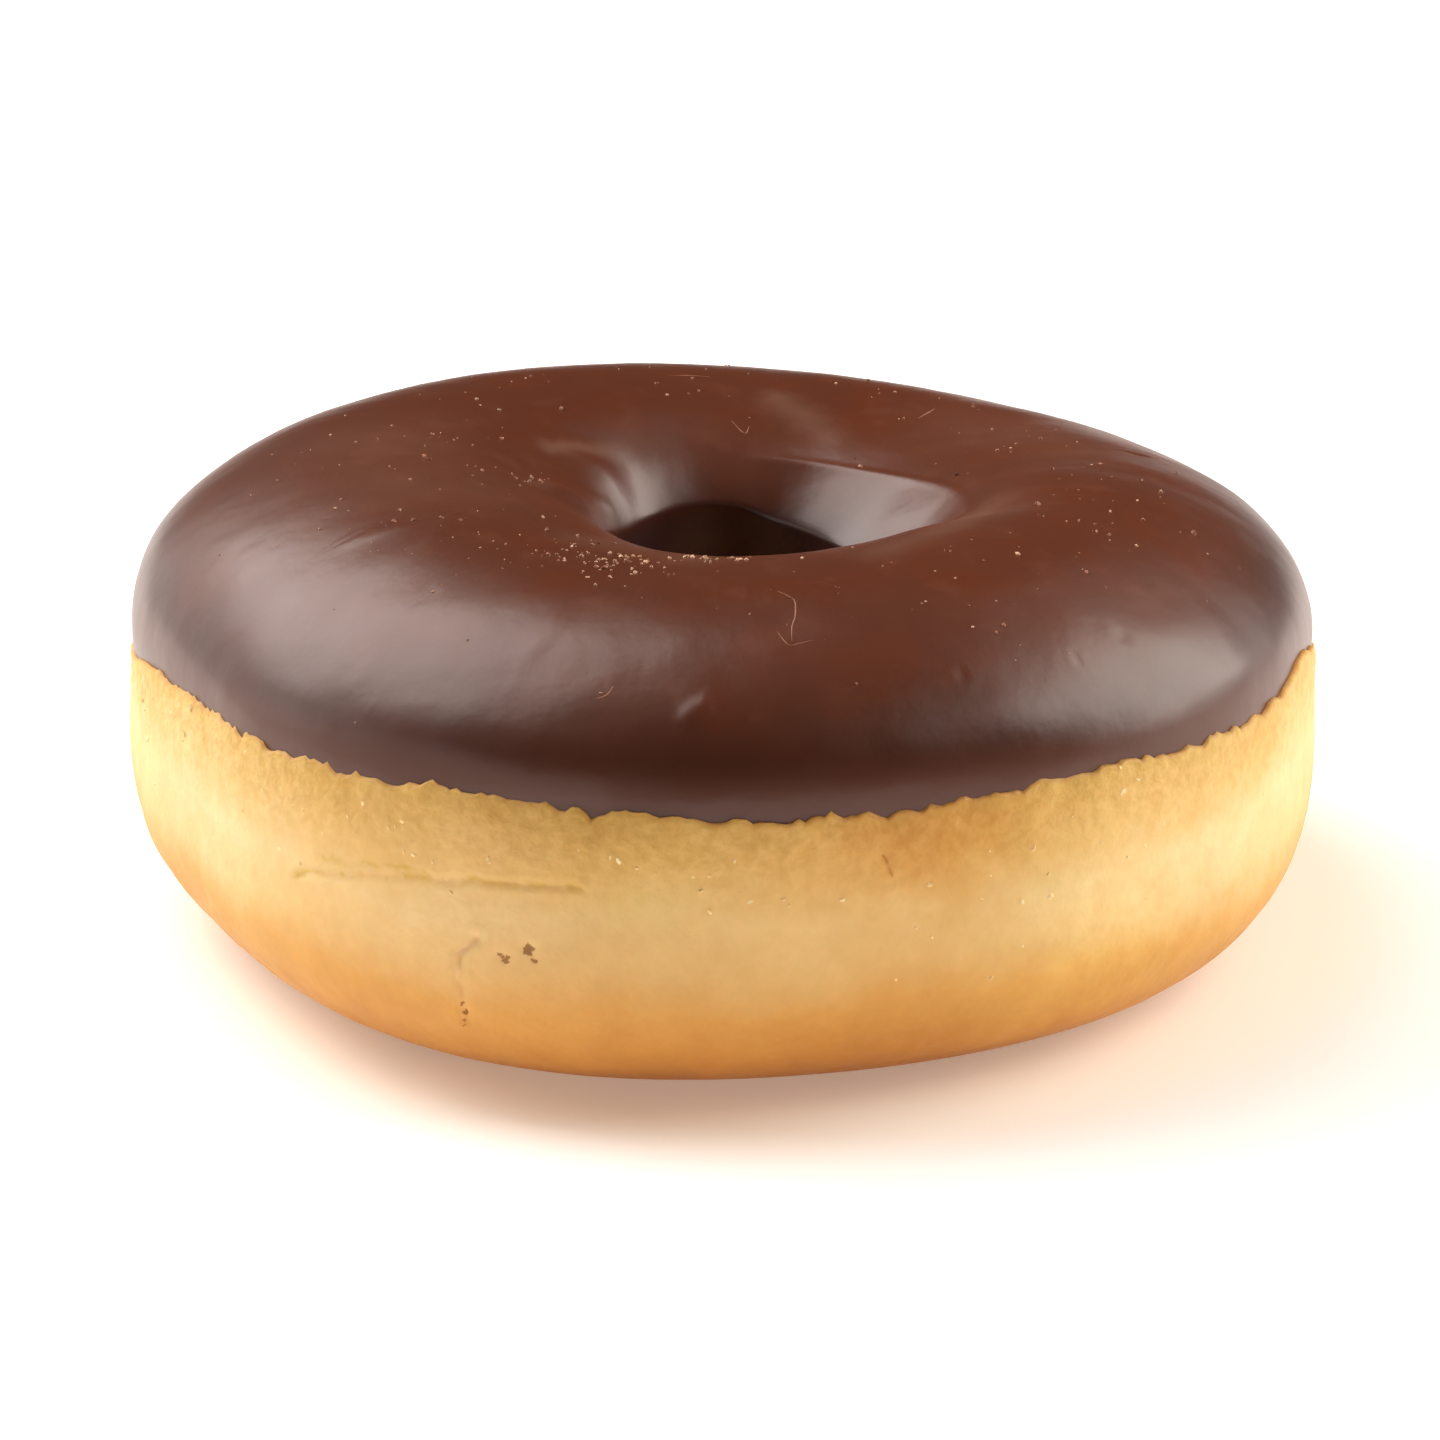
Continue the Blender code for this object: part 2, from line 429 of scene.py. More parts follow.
def dough_loop():
    """Rows round the dough: bare from the hole under the foot to the icing line, then sunk."""
    under_rows, side_rows, lip_rows, sunk_rows = 46, 92, 5, 8
    side_start, lip_start, lip_length, crowding = 1.56, 1.995, 0.005, 0.2
    sunk = ICING_THICKNESS - ICING_OVERLAP
    loop = [(place, 0.0) for place in spread(1.0, side_start, under_rows, crowding)]
    loop += [(place, 0.0) for place in spread(side_start, lip_start, side_rows, crowding)]
    for k in range(lip_rows):
        turn = math.pi / 2 * k / lip_rows
        loop.append((lip_start + lip_length * math.sin(turn), sunk * (1 - math.cos(turn))))
    loop += [(place, sunk) for place in spread(0.0, 1.0, sunk_rows)]
    return loop


def icing_line(graph, bearing):
    """Height of the icing's outer edge, first even and then with its cusps and nicks."""
    even = ICING_LINE + waves(bearing, ICING_LINE_WAVES)
    for where, drop, half_width in ICING_DIPS:
        even = even - bell(turn_from(bearing, where), half_width) * drop
    round_place = graph.vector(bearing.cos(), bearing.sin(), 0) * OUTER_RADIUS
    ragged = even
    rough = graph.noise(round_place, 7, 0, shift=33).ease(0.35, 0.65)
    for size, height, shift in EDGE_CUSPS:
        cusps = abs(graph.noise(round_place, size, 0, shift=shift) - 0.5)
        ragged = ragged + (cusps - 0.12) * (2 * height) * (0.35 + rough * 0.65)
    turn = bearing * (180 / math.pi)
    for where, drop, half_width in ICING_NICKS:
        ragged = ragged - (1 - abs(turn - where) / half_width).most(0) * (NICK_SHARE * drop)
    return even, ragged


def fold_drop(graph, bearing, radius, level):
    """How far the pressed fold lowers the form: a hollow that starts at a thin bead."""
    turn = turn_from(bearing, FOLD_BEARING)
    reach = (FOLD_ENDING * (1 - abs(turn) / FOLD_HALF_ANGLE)).ease(0, 1)
    tip = (-turn).ease(0, 32)
    inside = FOLD_RADIUS + FOLD_DRIFT * turn - (-turn).ease(38, 62) * FOLD_CLOSING - radius
    steep = inside.most(0) / graph.mix(tip, *FOLD_SHOULDER)
    hollow = (1 - (-steep).exp()) * graph.mix(tip, *FOLD_DEPTH)
    bead = bell(inside + FOLD_RIDGE[1], FOLD_RIDGE[1]) * FOLD_RIDGE[0]
    upper = level.ease(0.3 * SECTION_HEIGHT, 0.8 * SECTION_HEIGHT)
    plan = graph.vector(radius * bearing.cos(), radius * bearing.sin(), 0)
    drop = reach * (hollow - bead)
    for where, middle, depth, half_width in THUMBS:
        drop = drop + bell((plan - spot_at(where, middle)).length(), half_width) * depth
    return upper * drop


def new_tree(name, inputs):
    """A geometry node tree with a geometry, a material and more named inputs; gives its graph,
    input values and identifiers."""
    tree = bpy.data.node_groups.new(name, "GeometryNodeTree")
    inputs = {"Geometry": "Geometry", "Material": "Material"} | inputs
    names = {}
    for key, kind in inputs.items():
        socket = tree.interface.new_socket(key, in_out="INPUT", socket_type="NodeSocket" + kind)
        names[key] = socket.identifier
    tree.interface.new_socket("Geometry", in_out="OUTPUT", socket_type="NodeSocketGeometry")
    graph = Graph(tree)
    group = tree.nodes.new("NodeGroupInput")
    values = {key: Value(graph, group.outputs[key]) for key in inputs}
    return graph, values, names


def close_tree(graph, geometry, material):
    """End of a tree: real meshes with their material."""
    real = graph.add("GeometryNodeRealizeInstances", {}, {0: geometry})
    painted = graph.add("GeometryNodeSetMaterial", {}, {"Geometry": real, "Material": material})
    out = graph.tree.nodes.new("NodeGroupOutput")
    graph.tree.links.new(painted.socket, out.inputs[0])


def form_tree(name, relief, points):
    """Shapes a ring net: the form from its named sizes, then relief square to the surface."""
    sizes = {"Outer Radius": OUTER_RADIUS, "Hole Radius": HOLE_RADIUS, "Section Height": SECTION_HEIGHT}
    graph, value, names = new_tree(name, {"Section": "Object"} | {key: "Float" for key in sizes})
    bearing, place, depth = (graph.named(key) for key in ("bearing", "place", "depth"))
    hole = value["Hole Radius"] + waves(bearing, HOLE_WAVES)
    span = value["Outer Radius"] + waves(bearing, OUTER_WAVES) - hole
    height = value["Section Height"] + waves(bearing, HEIGHT_WAVES)
    even_line, line = icing_line(graph, bearing)

    level_low, level_high = 0.6, 0.8
    place_low, place_high = (section_place(points, level, False) for level in (level_low, level_high))
    steep = (place_high - place_low) / (level_high - level_low)
    outer_place = (line / height - level_low) * steep + place_low
    hole_place = section_place(points, HOLE_LINE / SECTION_HEIGHT, True)
    iced = place.least(1) * (hole_place - outer_place)
    bare = (place - 1).most(0) * (1 - hole_place + outer_place)
    factor = (outer_place + iced + bare).fraction()

    curve = graph.add("GeometryNodeObjectInfo", {}, {"Object": value["Section"]}, "Geometry")
    sample = graph.add(
        "GeometryNodeSampleCurve", {"mode": "FACTOR"}, {"Curves": curve, "Factor": factor}, "Position"
    )
    tangent = Value(graph, sample.socket.node.outputs["Tangent"])
    radius = hole + sample.part("X") * span
    level = sample.part("Y") * height
    level = level - fold_drop(graph, bearing, radius, level)
    ahead = graph.vector(tangent.part("X") * span, tangent.part("Y") * height, 0)
    unit = ahead.unit()
    bore = BORE_RADIUS + waves(bearing, BORE_WAVES) + depth
    radius = (radius - unit.part("Y") * depth).most(bore, 0.3)
    level = level + unit.part("X") * depth
    position = graph.vector(
        (radius * bearing.cos() + CENTRE[0]) * MM, (radius * bearing.sin() + CENTRE[1]) * MM, level * MM
    )
    shaped = graph.move(value["Geometry"], Position=position)
    below = graph.store(shaped, "below_line", line - level)
    spot = graph.add("GeometryNodeInputPosition") * 1000
    normal = graph.add("GeometryNodeInputNormal")
    rise = relief(graph, spot, depth, even_line)
    raised = graph.move(below, Offset=normal * (rise * MM))
    smooth = graph.add("GeometryNodeSetShadeSmooth", {}, {"Geometry": raised, "Shade Smooth": True})
    close_tree(graph, smooth, value["Material"])
    return graph.tree, names, sizes


def baked(host, name, material):
    """The evaluated mesh of an object as a new plain object in one material; the host goes."""
    depsgraph = bpy.context.evaluated_depsgraph_get()
    mesh = bpy.data.meshes.new_from_object(
        host.evaluated_get(depsgraph), preserve_all_data_layers=True, depsgraph=depsgraph
    )
    mesh.name = name
    mesh.materials.clear()
    mesh.materials.append(material)
    mesh.polygons.foreach_set("material_index", [0] * len(mesh.polygons))
    piece = placed(name, mesh)
    bpy.data.objects.remove(host, do_unlink=True)
    return piece


def run_tree(host, tree, names, name, material, inputs):
    """The piece that a geometry tree makes of its host, with these inputs."""
    modifier = host.modifiers.new("shape", "NODES")
    modifier.node_group = tree
    for key, value in ({"Material": material} | inputs).items():
        modifier[names[key]] = value
    return baked(host, name, material)


def formed(name, loop, columns, relief, material, points, section):
    """One finished piece of the ring."""
    net = ring_net(name + "_net", loop, columns)
    tree, names, sizes = form_tree(name + "_form", relief, points)
    return run_tree(net, tree, names, name, material, {"Section": section} | sizes)


# -------- marks and relief

def side_at(bearing, level):
    """A place on the unrolled outer side."""
    return (math.radians(bearing) * OUTER_RADIUS, level, 0.0)


# Thin threads and flakes of icing: bearings and radii along the line, thickness
THREADS = (
    (((276, 30.2), (277.3, 31), (278.1, 31.9), (277.7, 33.7), (277, 35), (276.7, 36.6)), 0.11),
    (((275.1, 35.3), (276.2, 36.8), (277.4, 36.7), (279.4, 36.4)), 0.08),
    (((54, 25.4), (54.2, 27), (54.6, 28.4)), 0.13),
    (((90.2, 18.8), (86.6, 17.4), (85.6, 18.6)), 0.1),
    (((256.6, 42.5), (257.6, 42.1), (258.1, 41.2)), 0.1),
    (((101.5, 25.8), (97, 26.2), (93.5, 26.2)), 0.08),
    (((20, 36), (22.5, 36.6), (24, 35.9)), 0.08),
    (((120, 30), (122, 31.2), (121.4, 32.4)), 0.08),
)
# Creases in the skin of the icing: bearings and radii along the line
CREASES = (
    ((211.5, 34), (213.6, 31.6), (215.3, 28.5), (216, 26)),
    ((257, 30.7), (265.6, 29.8), (274.4, 29.8)),
    ((182, 23.4), (186.5, 24.2)),
)
# Soft swellings, in the same way, with height and half width
SWELLINGS = (
    (((178, 12.3), (160, 12.3), (143, 12.7)), 0.9, 2.4),
    (((81, 26), (71, 23.4), (63, 20.5)), 0.14, 2.1),
    (((146, 16.4), (126, 14.8)), 0.05, 0.9),
    (((164, 12.2), (153, 11.3)), 0.09, 0.5),
    (((265.9, 43), (267.3, 42.2)), 0.2, 0.75),
    (((319, 42), (328, 42.4)), 0.14, 2.4),
    (((213, 33.6), (215.5, 30)), 0.07, 0.8),
    (((222, 30.5), (221, 28.6), (219.5, 27.4), (216, 25.6)), 0.13, 0.45),
    (((248, 40), (249.5, 36)), 0.05, 1.1),
)
# Pale smears on the icing, partly bloom and partly painted sheen that stands in for soft reflections of the
# lamps, such as those along the near lip and on the far crown; in the same way, with half width and strength
SMEARS_AND_PAINTED_SHEEN = (
    (((80, 22.9), (75, 21.6), (68, 19.4)), 1.7, 0.55),
    (((148, 16.8), (137, 15.4), (128, 14.9)), 0.9, 0.55),
    (((180, 14.6), (186, 15.4)), 0.7, 0.3),
    (((175, 28), (200, 26)), 7, 0.3),
    (((240, 21), (262, 21.5)), 2.4, 0.25),
    (((330, 17), (345, 21)), 2.6, 0.25),
    (((296, 24.4), (312, 22.6), (325, 21.2), (337, 20)), 2, 0.3),
    (((20, 30), (45, 27)), 5, 0.22),
)
# Dents in the icing: bearing and radius, depth and half width
DENTS = (
    ((307.3, 41.3), 0.05, 0.36), ((314.6, 40.7), 0.06, 0.6),
    ((318, 38.6), 0.03, 0.45), ((232, 36.6), 0.06, 0.7),
    ((294, 40.5), 0.05, 0.45), ((20, 34), 0.08, 0.6),
    ((120, 36), 0.08, 0.6), ((70, 38.5), 0.08, 0.5),
)
# Wrinkles and cracks in the crust: bearings and heights along the line, depth, half width, tint
OLIVE, BURNT, PALE = (0.89, 0.87, 0.56), (0.74, 0.56, 0.26), (1.04, 1.1, 1.25)
WRINKLES = (
    (((228, 15.6), (236, 17.2), (244, 18.2), (251, 18.7), (257, 18.9)), 0.18, 0.3, OLIVE),
    (((231, 17.6), (238, 18.3), (243, 18.6)), 0.1, 0.3, OLIVE),
    (((248, 14.4), (246.2, 13), (245.9, 11), (246, 7)), 0.34, 0.22, PALE),
    (((283.4, 20.4), (284.2, 19.4), (284.5, 18.4)), 0.16, 0.14, BURNT),
    (((75, 16), (88, 17), (103, 16.2)), 0.26, 0.55, OLIVE),
    (((20, 19), (24, 14), (23, 9)), 0.2, 0.16, BURNT),
    (((152, 13), (160, 14.2), (167, 13.8)), 0.24, 0.45, OLIVE),
)
# Browner and paler patches of crust, and painted light: the strongest pale tints, on the left and right sides
# at bearings 212 to 225 and 302 to 330, brighten them where the lamps fall; bearing and height, half width,
# tint
PATCHES_AND_PAINTED_LIGHT = (
    ((291, 20.5), 7, (0.86, 0.68, 0.42)), ((283, 21.5), 4, (0.88, 0.74, 0.5)),
    ((226, 9), 9, (1, 0.92, 0.78)), ((262, 22), 6, (0.88, 0.86, 0.62)),
    ((212, 15), 16, (1, 1.14, 1.42)), ((330, 16), 12, (1, 1.2, 1.56)),
    ((302, 14), 11, (1.04, 1.18, 1.4)), ((305, 6), 8, (1.14, 1.22, 1.18)),
    ((225, 7), 8, (1.06, 1.14, 1.26)),
    ((246, 20), 7, (1.05, 1.1, 1.3)), ((263, 18), 4, (1.03, 1.07, 1.18)),
    ((276, 8), 15, (0.96, 0.93, 0.84)),
    ((100, 18), 9, (0.9, 0.74, 0.5)), ((30, 12), 8, (0.93, 0.78, 0.55)),
    ((170, 19), 6, (0.9, 0.78, 0.55)), ((330, 21), 5, (0.93, 0.82, 0.6)),
)
# Burnt pits in the crust: bearing and height, depth, half width
PITS = (
    ((250.5, 13), 0.25, 0.3), ((252.6, 13.9), 0.35, 0.42),
    ((252.9, 13.2), 0.25, 0.25), ((249.9, 13.2), 0.2, 0.22),
    ((246, 8.7), 0.2, 0.22), ((246.2, 7.9), 0.25, 0.26),
    ((246, 7), 0.2, 0.2), ((60, 11), 0.35, 0.5),
    ((132, 16.5), 0.3, 0.4), ((10, 9), 0.25, 0.35),
    ((161, 9.5), 0.25, 0.35),
)
WRINKLE_LEAST = 0.3       # least half width that the mesh can carry
# Separate bright grains of sugar: bearing, radius and size
GRAINS = (
    (313, 30.9, 0.33), (356, 33.1, 0.26), (104, 21.5, 0.22), (64, 30.3, 0.2), (52, 16.6, 0.22),
    (341, 38, 0.18), (331, 34.6, 0.18), (340, 33.1, 0.18), (347, 31.7, 0.16), (338, 30.8, 0.18),
    (251, 30.8, 0.22), (255, 27.6, 0.21), (252, 29.1, 0.19), (254, 26.9, 0.2), (255, 24.8, 0.2),
    (257, 24.5, 0.18), (241, 25.3, 0.17), (236, 20.7, 0.17), (249, 29.7, 0.17), (258, 22.5, 0.18),
    (266, 23.2, 0.18), (270, 20.9, 0.2), (283, 22.8, 0.22), (295, 21.2, 0.22), (223, 19.5, 0.17),
    (170, 31.8, 0.16), (144, 25, 0.15), (132, 20.3, 0.18), (232, 35.7, 0.17), (241, 39.6, 0.15),
    (234, 46.4, 0.13), (257, 42, 0.15),
)
# Drifts of fine crumbs: count, bearing, radius, spread along and across, size
DRIFTS = (
    (50, 251, 25.8, 2.4, 1.5, 0.15), (18, 267, 21.9, 1.8, 0.8, 0.15), (30, 240, 27.5, 4.6, 3, 0.1),
    (22, 216, 32, 6, 5, 0.09), (16, 190, 33, 7, 4, 0.09), (18, 150, 27, 8, 4, 0.09),
    (24, 330, 32, 9, 4.5, 0.1), (14, 30, 27, 9, 5, 0.1), (12, 80, 28, 9, 5, 0.09),
    (12, 300, 34, 6, 4, 0.08),
)
# Chips of broken icing, in the same way
CHIPS = (
    (182.5, 23.7, 0.42), (184.2, 23.3, 0.26), (167.8, 23.9, 0.3), (230.8, 22, 0.26), (239.8, 27, 0.22),
    (232, 27.3, 0.24), (180.2, 14.8, 0.34), (178.4, 15.5, 0.3), (184, 15.7, 0.28), (131.9, 20.3, 0.26),
    (158.7, 19.4, 0.22), (318.4, 35, 0.2), (213, 30.2, 0.26), (214.5, 29, 0.28), (217, 27.2, 0.24),
    (219.5, 26.4, 0.24), (168.3, 22.1, 0.2), (300.2, 38, 0.2), (8, 29, 0.24), (70, 33, 0.24),
)
CHIP_DRIFTS = (
    (30, 190, 20.5, 6, 4.5, 0.15), (22, 242, 26, 4.5, 2.5, 0.14), (22, 345, 29, 8, 4, 0.14),
    (18, 35, 26, 8, 4, 0.14), (14, 110, 28, 9, 4, 0.13), (16, 285, 33, 8, 4, 0.12),
)
# Pale flecks of dough and flour on the side: count, bearing, height, spread along and up, size
FLOUR = (
    (16, 236, 20, 7, 2, 0.23), (14, 262, 20, 8, 1.6, 0.21), (18, 302, 19, 9, 2.4, 0.23),
    (10, 200, 19, 8, 2.4, 0.2), (12, 60, 17, 20, 3, 0.21), (12, 130, 17, 20, 3, 0.21),
    (8, 276, 11, 14, 3, 0.2),
)


def plan_of(graph, place):
    """A place on the plan, measured from the middle of the ring."""
    return graph.vector(place.part("X") - CENTRE[0], place.part("Y") - CENTRE[1], 0.0)


def side_of(graph, place):
    """A place on the unrolled outer side."""
    across, along = place.part("X") - CENTRE[0], place.part("Y") - CENTRE[1]
    turn = along.math("ARCTAN2", along, across) / (math.tau) + 1.0
    return graph.vector(turn.fraction() * (math.tau * OUTER_RADIUS), place.part("Z"), 0.0)


def icing_relief(graph, spot, depth, line):
    """Swells, creases and dents of the icing, whose face rolls off towards its thin edge."""
    plan = plan_of(graph, spot)
    height = (graph.noise(spot, 16, 1, shift=5) - 0.5) * 0.45
    height = height + (graph.noise(spot, 5, 1, shift=9) - 0.5) * 0.14
    for points, rise, half_width in SWELLINGS:
        height = height + bell(plan.stroke(spot_at, points), half_width) * rise
    for points in CREASES:
        gap = plan.stroke(spot_at, points)
        height = height + bell(gap - 0.35, 0.3) * 0.06 - bell(gap, 0.25) * 0.07
    for place, fall, half_width in DENTS:
        gap = (plan - spot_at(*place)).length()
        height = height + bell(gap - 1.4 * half_width, half_width) * (0.3 * fall)
        height = height - bell(gap, half_width) * fall
    outer = spot.part("Z") - line
    width = graph.noise(spot * (1, 1, 0.2), 10, 1, shift=19) * 3 + 2.6
    slack = (1 - outer / width).most(0)
    face = depth.ease(ICING_THICKNESS, 0)
    return (height - slack * slack * EDGE_ROLL) * face


def dough_relief(graph, spot, depth, line):
    """Lumps, crepe, wrinkles and pits of the fried crust; nothing under the foot or the icing."""
    bare = depth.ease(0.4, 0)
    off_floor = spot.part("Z").ease(0.3, 4)
    outside = plan_of(graph, spot).length().ease(26, 34)
    lumps = (graph.noise(spot, 14, 1, shift=2) - 0.5) * 0.7
    bumps = (graph.noise(spot, 4.5, shift=7) - 0.5) * 0.24
    near_icing = (line - spot.part("Z")).ease(7.5, 1.5)
    crepe = (graph.noise(spot, 1.5, shift=13) - 0.5) * (0.06 + near_icing * 0.28)
    side = graph.warp(side_of(graph, spot), 2.5, 0.9)
    marks = 0
    for points, fall, half_width, _ in WRINKLES:
        gap = side.stroke(side_at, points)
        half_width = max(half_width, WRINKLE_LEAST)
        marks = marks + bell(gap - 1.6 * half_width, half_width) * (0.35 * fall)
        marks = marks - bell(gap, half_width) * fall
    for place, fall, half_width in PITS:
        marks = marks - bell((side - side_at(*place)).length(), half_width) * fall
    return (lumps + bumps + crepe + marks * outside) * off_floor * bare


# -------- crumbs, grains and threads

def seeds(name, starts, aims, sizes, edges=()):
    """Points in the air, each with the way it falls onto the surface and its size."""
    mesh = bpy.data.meshes.new(name)
    mesh.from_pydata(np.array(starts) * MM, edges, [])
    mesh.attributes.new("aim", "FLOAT_VECTOR", "POINT").data.foreach_set("vector", np.ravel(aims))
    mesh.attributes.new("size", "FLOAT", "POINT").data.foreach_set("value", sizes)
    return placed(name, mesh)


DOWN = (0.0, 0.0, -1.0)
START_ABOVE, START_BESIDE = 60.0, 20.0    # how far off the ring the seeds start
RAY_LENGTH = 0.1           # metres that a seed can fall
CRUMB_SEED, CHIP_SEED, FLOUR_SEED = 7, 5, 11


def above(bearing, radius):
    """A place in the air straight above the ring."""
    x, y, z = spot_at(bearing, radius)
    return (x + CENTRE[0], y + CENTRE[1], z + START_ABOVE)


def beside(bearing, level):
    """A place in the air beside the ring."""
    x, y, _ = spot_at(bearing, OUTER_RADIUS + START_BESIDE)
    return (x + CENTRE[0], y + CENTRE[1], level)


def top_seeds(name, singles, drifts, seed):
    """Single grains and drifts of crumbs above the icing."""
    chance = np.random.default_rng(seed)
    places = list(singles)
    for count, bearing, radius, along, across, size in drifts:
        for _ in range(count):
            step, rise, bulk = chance.normal(size=3)
            places.append((
                bearing + math.degrees(along * step / radius), radius + across * rise,
                size * math.exp(0.4 * bulk),
            ))
    starts = [above(bearing, radius) for bearing, radius, size in places]
    return seeds(name, starts, [DOWN] * len(starts), [size for *_, size in places])


def side_seeds():
    """Flecks of flour beside the dough."""
    chance = np.random.default_rng(FLOUR_SEED)
    starts, aims, sizes = [], [], []
    for count, bearing, level, along, up, size in FLOUR:
        for _ in range(count):
            step, rise, bulk = chance.normal(size=3)
            turn = bearing + math.degrees(along * step / OUTER_RADIUS)
            starts.append(beside(turn, level + up * rise))
            aims.append(spot_at(turn, -1.0))
            sizes.append(size * math.exp(0.3 * bulk))
    return seeds("flour_seeds", starts, aims, sizes)


def thread_seeds():
    """Lines above the icing, which fall onto it as threads."""
    starts, sizes, edges = [], [], []
    for points, thickness in THREADS:
        first = len(starts)
        starts += [above(bearing, radius) for bearing, radius in points]
        sizes += [thickness / 2] * len(points)
        edges += [(first + k, first + k + 1) for k in range(len(points) - 1)]
    return seeds("thread_seeds", starts, [DOWN] * len(starts), sizes, edges)


def landed(graph, value, geometry, sink):
    """The seeds moved along their aim onto the surface, and a little into it."""
    surface = graph.add("GeometryNodeObjectInfo", {}, {"Object": value["Surface"]}, "Geometry")
    size = graph.named("size")
    aim = graph.named("aim", "FLOAT_VECTOR")
    ray = {"Target Geometry": surface, "Ray Direction": aim, "Ray Length": RAY_LENGTH}
    hit = graph.add("GeometryNodeRaycast", {}, ray, "Hit Position")
    normal = Value(graph, hit.socket.node.outputs["Hit Normal"])
    met = Value(graph, hit.socket.node.outputs["Is Hit"])
    marked = graph.store(geometry, "missed", 1.0 - met)
    down = graph.move(marked, Position=hit - normal * (size * (sink * MM)))
    lost = {"Geometry": down, "Selection": graph.named("missed")}
    return graph.add("GeometryNodeDeleteGeometry", {"domain": "POINT"}, lost), size


def random_vector(graph, low, high, seed):
    """Three random numbers for each point."""
    inputs = {"Min": low, "Max": high, "Seed": seed}
    return graph.add("FunctionNodeRandomValue", {"data_type": "FLOAT_VECTOR"}, inputs)


def scatter_tree(name):
    """Small stretched grains on the seeds, roughened a little."""
    graph, value, names = new_tree(name, {"Surface": "Object", "Flatness": "Float"})
    points, size = landed(graph, value, value["Geometry"], 0.2)
    grain = graph.add("GeometryNodeMeshIcoSphere", {}, {"Radius": MM, "Subdivisions": 1})
    turn = random_vector(graph, (0.0, 0.0, 0.0), (6.28, 6.28, 6.28), 3)
    stretch = random_vector(graph, (0.6, 0.6, 0.5), (1.4, 1.2, 1.0), 5)
    flat = graph.vector(1.0, 1.0, value["Flatness"])
    spread_out = graph.add(
        "GeometryNodeInstanceOnPoints", {},
        {"Points": points, "Instance": grain, "Rotation": turn, "Scale": stretch * flat * size},
    )
    real = graph.add("GeometryNodeRealizeInstances", {}, {0: spread_out})
    spot = graph.add("GeometryNodeInputPosition") * 1000.0
    jolt = graph.vector(*(graph.noise(spot, 0.25, 1.0, shift=shift) - 0.5 for shift in (1.0, 4.0, 9.0)))
    rough = graph.move(real, Offset=jolt * (0.16 * MM))
    close_tree(graph, rough, value["Material"])
    return graph.tree, names


def thread_tree(name):
    """Smooth threads along the lines, thin at both ends and lying on the surface."""
    graph, value, names = new_tree(name, {"Surface": "Object", "Step": "Float"})
    line = graph.add("GeometryNodeMeshToCurve", {}, {0: value["Geometry"]})
    smooth = graph.add("GeometryNodeCurveSplineType", {"spline_type": "CATMULL_ROM"}, {"Curve": line})
    steps = {"Curve": smooth, "Length": value["Step"]}
    fine = graph.add("GeometryNodeResampleCurve", {"mode": "LENGTH"}, steps)
    curve, size = landed(graph, value, fine, 0.3)
    along = graph.add("GeometryNodeSplineParameter", {}, {}, "Factor")
    spot = graph.add("GeometryNodeInputPosition") * 1000.0
    taper = (along * (1.0 - along) * 4.0) ** 0.4 * (graph.noise(spot, 0.6, 1.0) + 0.5)
    circle = graph.add("GeometryNodeCurvePrimitiveCircle", {}, {"Resolution": 7, "Radius": 1.0}, "Curve")
    tube = graph.add(
        "GeometryNodeCurveToMesh", {},
        {"Curve": curve, "Profile Curve": circle, "Scale": taper * size * MM, "Fill Caps": True},
    )
    close_tree(graph, tube, value["Material"])
    return graph.tree, names


def scattered(name, host, surface, material, make_tree, sizes):
    """One piece of many small shapes that lie on a surface."""
    tree, names = make_tree(name + "_scatter")
    return run_tree(host, tree, names, name, material, {"Surface": surface} | sizes)


# -------- materials

def new_material(name):
    """A material, its graph, its Principled shader and its place in millimetres."""
    material = bpy.data.materials.new(name)
    material.use_nodes = True
    graph = Graph(material.node_tree)
    shader = material.node_tree.nodes["Principled BSDF"]
    place = graph.add("ShaderNodeTexCoord", {}, {}, "Object") * 1000.0
    return material, graph, shader, place


# Colours of the crust from the foot, at 0, up to BAND_TOP, at 1
CRUST_BAND = (
    (0, (0.4, 0.145, 0.027)), (0.12, (0.57, 0.245, 0.045)), (0.34, (0.72, 0.37, 0.085)),
    (0.5, (0.82, 0.53, 0.2)), (0.66, (0.85, 0.59, 0.25)), (0.82, (0.775, 0.485, 0.155)),
    (1, (0.655, 0.38, 0.086)),
)
BAND_TOP = 25.0


def connect(graph, shader, colour, roughness, height, distance, more):
    """Gives the shader its colour, roughness, fine relief and the rest."""
    bump = graph.add("ShaderNodeBump", {}, {"Strength": 1, "Distance": distance, "Height": height})
    graph.plug(shader, {"Base Color": colour, "Roughness": roughness, "Normal": bump} | more)


